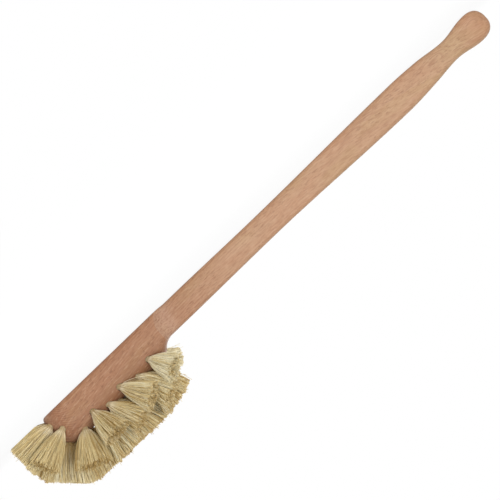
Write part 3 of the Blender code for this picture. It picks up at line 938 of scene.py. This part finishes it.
@dataclass(frozen=True)
class TuftPlace:
    """Where one tuft stands and how it is cut.

    around is the hole's place on the keel round in degrees, 0 at the flat side and 90 at the keel, and along its
    share of the head's length. On the nose, turn goes from the side, 0, to straight ahead, 90, and height places
    a hole on the upright wall. A tuft with no length of its own ends only where the whole brush is trimmed.
    spread widens its fan, skew moves the fan's end towards the nose, pale lightens it and clumped tells how far
    its fibres part into locks. ragged is how much its fibres differ in length, and loose is the number of its
    long stray fibres.
    """

    name: str
    around: float
    splay: float
    lean: float
    along: float = 0
    turn: float | None = None
    height: float | None = None
    length: float | None = None
    spread: float = 1
    skew: float = 0
    pale: float = 0
    clumped: float = 1
    ragged: float = 0
    loose: int = 0
    side: Side = Side.MIDDLE

    @property
    def node(self) -> str:
        """The name of the solid that the tuft stands for."""
        ending = "" if self.side is Side.MIDDLE else f"_{self.side.name.lower()}"
        return f"tuft_{self.name}{ending}"

    def parted(self, values: Range) -> float:
        """The first value, and with it as much of the second as the tuft is clumped."""
        return values[0] + values[1] * self.clumped


class Rod(NamedTuple):
    """The strand's mesh: its corners, the levels that they stand on, and its walls and cut end as rows of corners."""

    corners: np.ndarray
    shares: np.ndarray
    level: np.ndarray
    walls: np.ndarray
    end: np.ndarray


@dataclass(frozen=True)
class Strand:
    """One fibre, modelled once as a thin three-sided rod and then bent and copied for every fibre."""

    sides: int = 3
    levels: tuple[float, ...] = (-0.10, 0.0, 0.08, 0.24, 0.48, 0.74, 1.0)
    level_digits: int = 4

    def model(self) -> Rod:
        """Models a rod of unit radius whose height is the share along the fibre.

        Returns:
            The rod.
        """
        made = column(self.sides, self.levels)
        corners = corners_of(made)
        faces = sorted((list(face.vertices) for face in made.data.polygons), key=lambda face: corners[face, 2].min())
        mesh = made.data
        bpy.data.objects.remove(made)
        bpy.data.meshes.remove(mesh)
        shares, level = np.unique(np.round(corners[:, 2], self.level_digits), return_inverse=True)
        return Rod(corners, shares, level, np.array(faces[:-1]), np.array(faces[-1:]))


@dataclass
class TuftField:
    """All tufts of the head: where they stand, how they fan out and how their fibres are gathered and cut.

    paired holds the tufts that stand on both sides, and middle those on the keel line. trims holds the cuts that
    the whole brush shares, each as the end of the head's back that it is measured from, -1 the nose and 1 the
    heel, the lean of its normal in degrees and its distance. The last fields scatter the fibres: a stray one
    parts from its lock, and a loose one is long and lies on the heel's side. Of the pairs lock_scatter_along,
    lock_tone, tone_range, edge_shade and end_share, the second number counts as far as a tuft is clumped.
    """

    paired: tuple[TuftPlace, ...] = (
        TuftPlace("side_heel", 26, 42, 32, along=0.905, length=0.86, pale=0.34, clumped=0.75, loose=3),
        TuftPlace("side_middle", 26, 36, 35, along=0.612, length=1.02, pale=0.05),
        TuftPlace("side_front", 24, 41, 8, along=0.336, length=1.0, pale=-0.07),
        TuftPlace("flank_heel", 46, 27, 22, along=0.757, length=1.0, pale=0.05, clumped=0.8, loose=5),
        TuftPlace("flank_middle", 46, 27, 24, along=0.458, length=1.0, pale=-0.04),
        TuftPlace(
            "flank_front", 52, 31, -25, along=0.195, length=1.0, spread=1.2, pale=-0.18, clumped=0.5, ragged=0.0012
        ),
        TuftPlace("low_heel", 72, 12, 5, along=0.817, spread=1.2, pale=0.02),
        TuftPlace("low_middle", 72, 12, 6, along=0.520, spread=1.2, pale=0.02),
        TuftPlace("low_front", 72, 12, -4, along=0.362, spread=1.2, pale=0.02),
        TuftPlace(
            "nose_side", 0, 27, -69, turn=31.4, height=0.53, length=1.08, pale=-0.17, clumped=0.22, ragged=0.0018
        ),
        TuftPlace(
            "nose_tip", 0, 14, -83, turn=60, height=0.265, spread=1.3, pale=-0.09, clumped=0.22, ragged=0.0006
        ),
    )
    middle: tuple[TuftPlace, ...] = (
        TuftPlace("keel_heel", 90, 0, 1, along=0.880, pale=0.02),
        TuftPlace("keel_middle", 90, 0, 6, along=0.592, spread=1.25, pale=0.02),
        TuftPlace("keel_fore", 90, 0, -3, along=0.299, spread=1.75, skew=0.005, pale=-0.04),
        TuftPlace("keel_front", 90, 0, -20, along=0.155, spread=2.1, skew=0.003, pale=-0.10, clumped=0.6),
        TuftPlace("nose_front", 0, 0, -68, turn=90, height=0.55, spread=1.18, pale=-0.12, clumped=0.35),
        TuftPlace("nose_under", 45, 0, -41, turn=90, spread=1.9, skew=-0.006, pale=0.06, clumped=0.35),
    )
    head_length: float = 0.0938
    head_depth: float = 0.0287
    half_head: float = 0.0140
    edge_round: float = 0.0120
    bound_radius: float = 0.0023
    fibre_length: float = 0.0285
    trims: tuple[tuple[int, float, float], ...] = (
        (-1, 0, 0.0577),
        (-1, -22, 0.0530),
        (-1, -45, 0.0432),
        (-1, -68, 0.0372),
        (-1, -90, 0.0280),
        (1, 13, 0.0503),
        (1, 68, 0.0200),
    )
    least_facing: float = 0.2
    corner_softness: float = 0.0005
    over_table: float = 0.0002
    opening: float = 0.80
    fan_half_width: float = 0.0112
    fan_half_thickness: float = 0.0060
    fibre_radius: float = 0.000135
    thickness: Range = (0.75, 1.35)
    fibres: int = 1400
    locks: int = 84
    first_seed: int = 11
    lock_step: float = 2.39996
    lock_scatter: float = 0.05
    lock_width: float = 1.3
    gather: Range = (0.40, 0.76)
    root_gather: float = 0.6
    tip_scatter: float = 0.035
    scatter_along: float = 0.00020
    lock_scatter_along: Range = (0.00030, 0.00060)
    bow: float = 0.00050
    lock_bow: float = 0.00035
    stray_share: float = 0.014
    stray_reach: Range = (1.05, 1.35)
    stray_longer: Range = (-0.002, 0.0024)
    stray_bow: float = 2.2
    loose_end: Range = (0, -1.1)
    loose_scatter: float = 0.10
    loose_longer: Range = (0.002, 0.005)
    loose_bow: float = 1.6
    mid_tone: float = 0.65
    tone_evenness: float = 1.5
    tone_range: Range = (0.40, 0.40)
    lock_tone: Range = (0.02, 0.09)
    # painted shade: darker tone for fibres deep inside a tuft and at the edges of their locks
    inner_shade: float = 0.36
    edge_shade: Range = (0.02, 0.30)
    least_tone: float = 0.05
    brown_share: float = 0.02
    end_share: Range = (0.93, 0.07)

    @property
    def places(self) -> list[TuftPlace]:
        """Every tuft: the paired ones on both sides, then those on the keel line."""
        both = [replace(place, side=side) for place in self.paired for side in (Side.LEFT, Side.RIGHT)]
        return [*both, *self.middle]

    def root(self, place: TuftPlace) -> Vector:
        """The middle of a tuft's hole on the wood's surface.

        Args:
            place: the tuft.

        Returns:
            The point.
        """
        around = math.radians(place.around)
        out = self.half_head - self.edge_round * (1 - math.cos(around))
        height = self.head_depth - self.edge_round * (1 - math.sin(around))
        back = -self.head_length / 2
        if place.turn is None:
            return Vector((back + self.head_length * place.along, place.side.value * out, height))
        if place.height is not None:
            height = self.head_depth * place.height
        turn = math.radians(place.turn)
        across = place.side.value * out * math.cos(turn)
        return Vector((back + self.half_head - out * math.sin(turn), across, height))

    def frame(self, place: TuftPlace) -> Matrix:
        """A tuft's own frame: Z is its direction, X lies across the brush and Y is the way it fans.

        Args:
            place: the tuft.

        Returns:
            The frame in the row's coordinates.
        """
        splay, lean = math.radians(place.splay), math.radians(place.lean)
        sideways = place.side.value * math.sin(splay)
        z_axis = Vector((math.cos(splay) * math.sin(lean), sideways, math.cos(splay) * math.cos(lean)))
        across = Vector((0, 1, 0))
        x_axis = (across - z_axis * across.dot(z_axis)).normalized()
        turn = Matrix((x_axis, z_axis.cross(x_axis), z_axis)).transposed()
        return Matrix.Translation(self.root(place)) @ turn.to_4x4()

    def planes(self, place: TuftPlace, frame: Matrix) -> list[tuple[np.ndarray, np.ndarray]]:
        """The planes that can end a tuft's fibres, in the tuft's own frame.

        Args:
            place: the tuft.
            frame: its frame.

        Returns:
            A point and the normal of each plane that faces the fibres.
        """
        back = frame.inverted()
        found = []
        for end, lean_degrees, reach in self.trims:
            lean = math.radians(lean_degrees)
            normal = Vector((math.sin(lean), 0, math.cos(lean)))
            foot = Vector((end * self.head_length / 2, 0, 0))
            found.append((np.array(back @ (foot + normal * reach)), np.array(back.to_3x3() @ normal)))
        if place.length is not None:
            found.append((np.array((0, 0, self.fibre_length * place.length)), np.array((0, 0, 1.0))))
        return [(point, normal) for point, normal in found if normal[2] > self.least_facing]

    @staticmethod
    def disc(radius: np.ndarray, angle: np.ndarray) -> np.ndarray:
        """Points of a disc as across and along its fan."""
        return np.stack([radius * np.cos(angle), radius * np.sin(angle)], axis=1)

    def reach(self, place: TuftPlace, tip: np.ndarray) -> np.ndarray:
        """How far up each fibre ends: at the first plane that it meets, rounded where two planes meet.

        Args:
            place: the tuft.
            tip: where the fibres end, seen along the tuft.

        Returns:
            The heights in the tuft's frame.
        """
        soft = self.corner_softness
        planes = self.planes(place, self.frame(place))
        heights = [((point[:2] - tip) @ normal[:2]) / normal[2] + point[2] for point, normal in planes]
        return -soft * np.logaddexp.reduce([-height / soft for height in heights], axis=0)

    def tones(
        self, place: TuftPlace, radius: np.ndarray, away: np.ndarray, member: np.ndarray, random: np.random.Generator
    ) -> np.ndarray:
        """Each fibre's tone: painted shade, darker inside the tuft and between its locks, and brown for a few.

        Args:
            place: the tuft.
            radius: the fibres' distances from the tuft's middle, up to 1.
            away: their distances from the middles of their locks.
            member: the lock of each.
            random: the tuft's scatter.

        Returns:
            The tones, from 0, brown, to 1, cream.
        """
        spread = random.beta(self.tone_evenness, self.tone_evenness, len(radius)) - 0.5
        tone = self.mid_tone + place.pale + spread * place.parted(self.tone_range)
        tone += random.normal(0, place.parted(self.lock_tone), self.locks)[member]
        edge = np.minimum(away * math.sqrt(self.locks) / self.lock_width, 1)
        # painted shade inside the tuft and in the gaps between locks
        tone -= self.inner_shade * (1 - radius) + place.parted(self.edge_shade) * edge**2
        brown = random.uniform(0, 1, len(radius)) < self.brown_share
        return np.where(brown, 0, np.clip(tone, self.least_tone, 1))

    def grow(self, place: TuftPlace, rod: Rod, seed: int) -> bpy.types.Mesh:
        """Grows one tuft: fibres bound at the root, gathered in locks, fanned out and cut.

        Args:
            place: the tuft.
            rod: the strand.
            seed: the seed of this tuft's scatter.

        Returns:
            The tuft's mesh, with the attributes tone and along.
        """
        random = np.random.default_rng(seed)
        count = self.fibres
        radius = np.sqrt(random.uniform(0, 1, count))
        unit = self.disc(radius, random.uniform(0, math.tau, count))
        lock_radius = np.sqrt((np.arange(self.locks) + 0.5) / self.locks)
        locks = self.disc(lock_radius, np.arange(self.locks) * self.lock_step + random.uniform(0, math.tau))
        locks += random.normal(0, self.lock_scatter, locks.shape)
        member = np.linalg.norm(unit[:, None] - locks[None], axis=2).argmin(axis=1)
        away = locks[member] - unit
        gathered = away * (random.uniform(*self.gather, self.locks)[member][:, None] * place.clumped)
        tip = unit + gathered
        tip += random.normal(0, self.tip_scatter, tip.shape)
        stray = random.uniform(0, 1, count) < self.stray_share
        tip[stray] *= random.uniform(*self.stray_reach, (stray.sum(), 1))
        loose = np.arange(count) < place.loose
        tip[loose] = self.loose_end + random.normal(0, self.loose_scatter, (place.loose, 2))
        root = (unit + gathered * self.root_gather) * self.bound_radius
        tip = tip * (self.fan_half_thickness, self.fan_half_width * place.spread) + (0, place.skew)
        reach = self.reach(place, tip)
        reach += random.normal(0, self.scatter_along, count)
        reach += random.normal(0, place.parted(self.lock_scatter_along), self.locks)[member]
        reach += np.where(stray, random.uniform(*self.stray_longer, count), 0)
        reach += np.where(loose, random.uniform(*self.loose_longer, count), 0)
        bow = random.normal(0, self.bow, (count, 2)) + random.normal(0, self.lock_bow, (self.locks, 2))[member]
        bow[stray] *= self.stray_bow
        bow[loose] *= self.loose_bow
        held = np.clip(rod.shares, 0, 1)
        opened = held ** (self.opening / place.spread)
        lines = np.empty((count, len(held), 3))
        lines[:, :, :2] = root[:, None] + (tip - root)[:, None] * opened[None, :, None]
        lines[:, :, :2] += bow[:, None] * np.sin(math.pi * held)[None, :, None]
        lines[:, :, 2] = reach[:, None] * rod.shares[None]
        thick = self.fibre_radius * random.uniform(*self.thickness, count)
        tone = self.tones(place, radius, np.linalg.norm(away, axis=1), member, random)
        lines[:, :, 2] -= np.abs(random.normal(0, place.ragged, count))[:, None] * rod.shares[None]
        return self.skin(place, rod, lines, thick, tone, random)

    def skin(
        self,
        place: TuftPlace,
        rod: Rod,
        lines: np.ndarray,
        thick: np.ndarray,
        tone: np.ndarray,
        random: np.random.Generator,
    ) -> bpy.types.Mesh:
        """Copies the rod along each fibre's line. A fibre that meets the table lies along it.

        Args:
            place: the tuft.
            rod: the strand.
            lines: the fibres' middle lines in the tuft's frame, one point for each of the rod's levels.
            thick: each fibre's radius.
            tone: each fibre's tone, from brown to cream.
            random: the tuft's scatter.

        Returns:
            The tuft's mesh.
        """
        corners, count = rod.corners, len(lines)
        turned = random.uniform(0, math.tau, count)
        cos, sin = np.cos(turned)[:, None], np.sin(turned)[:, None]
        places = lines[:, rod.level]
        places[:, :, 0] += (cos * corners[None, :, 0] - sin * corners[None, :, 1]) * thick[:, None]
        places[:, :, 1] += (sin * corners[None, :, 0] + cos * corners[None, :, 1]) * thick[:, None]
        matrix = np.array(self.frame(place))
        places = places.reshape(-1, 3) @ matrix[:3, :3].T + matrix[:3, 3]
        places[:, 2] = np.maximum(places[:, 2], self.over_table)
        step = len(corners)
        starts = (np.arange(count) * step)[:, None, None]
        walls, ends = ((starts + part[None]).reshape(-1, part.shape[1]) for part in (rod.walls, rod.end))
        mesh = bpy.data.meshes.new(f"fibres_{place.node}")
        mesh.from_pydata(places, [], [*walls.tolist(), *ends.tolist()])
        sharp = mesh.attributes.new("sharp_face", "BOOLEAN", "FACE")
        sharp.data.foreach_set("value", np.arange(len(mesh.polygons)) >= len(walls))
        self.note(mesh, "tone", np.repeat(tone, step))
        self.note(mesh, "along", np.tile(np.clip(corners[:, 2], 0, 1), count) * place.parted(self.end_share))
        mesh.update()
        return mesh

    @staticmethod
    def note(mesh: bpy.types.Mesh, name: str, values: np.ndarray) -> None:
        """Writes one number for each corner point of a mesh."""
        mesh.attributes.new(name, "FLOAT", "POINT").data.foreach_set("value", values.astype(np.float32))

    def build(self, finish: bpy.types.Material) -> list[bpy.types.Object]:
        """Builds every tuft.

        Args:
            finish: the fibres' material.

        Returns:
            The tufts.
        """
        rod = Strand().model()
        made = []
        for seed, place in enumerate(self.places, self.first_seed):
            mesh = self.grow(place, rod, seed)
            piece = bpy.data.objects.new(f"fibres_{place.node.removeprefix('tuft_')}", mesh)
            bpy.context.scene.collection.objects.link(piece)
            dress(piece, finish)
            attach(piece, "root")
            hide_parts(place.node)
            made.append(piece)
        return made


@dataclass
class Anchors:
    """The flat wires that the tufts are folded over. They keep their solids and get their finish here."""

    start: str = "anchor_"

    def dress(self, nodes: dict[str, bpy.types.Object], finish: bpy.types.Material) -> list[bpy.types.Object]:
        """Gives each anchor the wire's finish.

        Args:
            nodes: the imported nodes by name.
            finish: the wire's material.

        Returns:
            The anchors.
        """
        found = [item for name, item in nodes.items() if name.startswith(self.start)]
        for item in found:
            dress(item, finish)
        return found


class Lamp(NamedTuple):
    """A soft square lamp: its name, where it hangs, its side and its power in watts."""

    name: str
    place: tuple[float, float, float]
    size: float
    power: float


@dataclass
class Studio:
    """A white table and a white surround, soft lamps, and the camera that looks at the brush's left side.

    The lamps are a large one on the camera's side, a weaker one above and a weak one behind.
    """

    frame_width: float = 0.350
    middle: tuple[float, float, float] = (0.1407, 0.0, 0.0154)
    roll_degrees: float = 43.9
    lens_mm: float = 150
    sensor_mm: float = 36
    clip: Range = (0.05, 50)
    table_size: float = 8.0
    paper: Colour = (0.86, 0.86, 0.86)
    paper_roughness: float = 0.9
    paper_specular: float = 0.1
    near_white: float = 0.89
    white_run: Range = (0.45, 1.3)
    table_glow: float = 0.42
    room_light: float = 0.41
    lamps: tuple[Lamp, ...] = (
        Lamp("camera_side_lamp", (0.35, 1.5, 0.30), 1.0, 21),
        Lamp("top_lamp", (0.35, 0.1, 1.6), 1.2, 1.6),
        Lamp("back_lamp", (0.1, -1.4, 0.7), 1.2, 10),
    )

    def table(self) -> None:
        """Lays the table: white where the camera sees it lit, and darker only where the brush shades it."""
        deselect()
        bpy.ops.mesh.primitive_plane_add(size=self.table_size, location=(0, 0, 0))
        table = bpy.context.object
        table.name = "white_table"
        recipe = Recipe(bpy.data.materials.new("white_paper"))
        rough, specular = self.paper_roughness, self.paper_specular
        values = {"Base Color": self.paper, "Roughness": rough, "Specular IOR Level": specular}
        dress(table, recipe.finish(values))
        away = recipe.length(recipe.place((1, 1, 0)))
        share = recipe.times(recipe.seen(), recipe.span(away, *self.white_run, self.near_white, 1.0))
        glow = recipe.node("Emission", {"Color": WHITE, "Strength": 1.0})
        recipe.show(recipe.maths("MAXIMUM", share, self.table_glow), glow)

    def surround(self) -> None:
        """Lights the room evenly, and shows the camera plain white."""
        recipe = Recipe(bpy.data.worlds.new("white_room"))
        bpy.context.scene.world = recipe.finish({"Color": WHITE, "Strength": self.room_light})
        recipe.show(recipe.seen(), recipe.node("Background", {"Color": WHITE, "Strength": 1.0}))

    def hang(self, lamp: Lamp) -> None:
        """Hangs a lamp that faces the middle of the brush.

        Args:
            lamp: the lamp.
        """
        data = bpy.data.lights.new(lamp.name, "AREA")
        data.size, data.energy = lamp.size, lamp.power
        hung = bpy.data.objects.new(lamp.name, data)
        hung.location = lamp.place
        hung.rotation_euler = (Vector(self.middle) - Vector(lamp.place)).to_track_quat("-Z", "Y").to_euler()
        bpy.context.scene.collection.objects.link(hung)

    def camera(self) -> None:
        """Sets the camera square to the brush's left side, rolled so that the handle rises to the right."""
        data = bpy.data.cameras.new("camera")
        data.lens, data.sensor_width = self.lens_mm, self.sensor_mm
        data.clip_start, data.clip_end = self.clip
        away = self.frame_width * self.lens_mm / self.sensor_mm
        roll = math.radians(self.roll_degrees)
        right = Vector((math.cos(roll), 0, math.sin(roll)))
        upward = Vector((math.sin(roll), 0, -math.cos(roll)))
        turn = Matrix((right, upward, Vector((0, 1, 0)))).transposed().to_4x4()
        camera = bpy.data.objects.new("camera", data)
        camera.matrix_world = Matrix.Translation(Vector(self.middle) + Vector((0, away, 0))) @ turn
        bpy.context.scene.collection.objects.link(camera)
        bpy.context.scene.camera = camera

    def build(self) -> None:
        """Sets up the table, the surround, the lamps and the camera."""
        self.table()
        self.surround()
        for lamp in self.lamps:
            self.hang(lamp)
        self.camera()
        bpy.context.scene.view_settings.view_transform = "Standard"


def main() -> None:
    """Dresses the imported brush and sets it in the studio."""
    logging.basicConfig(level=logging.INFO, format="%(name)s: %(message)s")
    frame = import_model()
    nodes = frame["nodes"]
    tufts = TuftField()
    pieces = [BeechBody().build([tufts.frame(place) for place in tufts.places], BeechFinish().material())]
    pieces += tufts.build(FibreFinish().material())
    pieces += Anchors().dress(nodes, WireFinish().material())
    for piece in pieces:
        LOG.info("%s has %d faces", piece.name, len(piece.data.polygons))
    Studio().build()


if __name__ == "__main__":
    main()
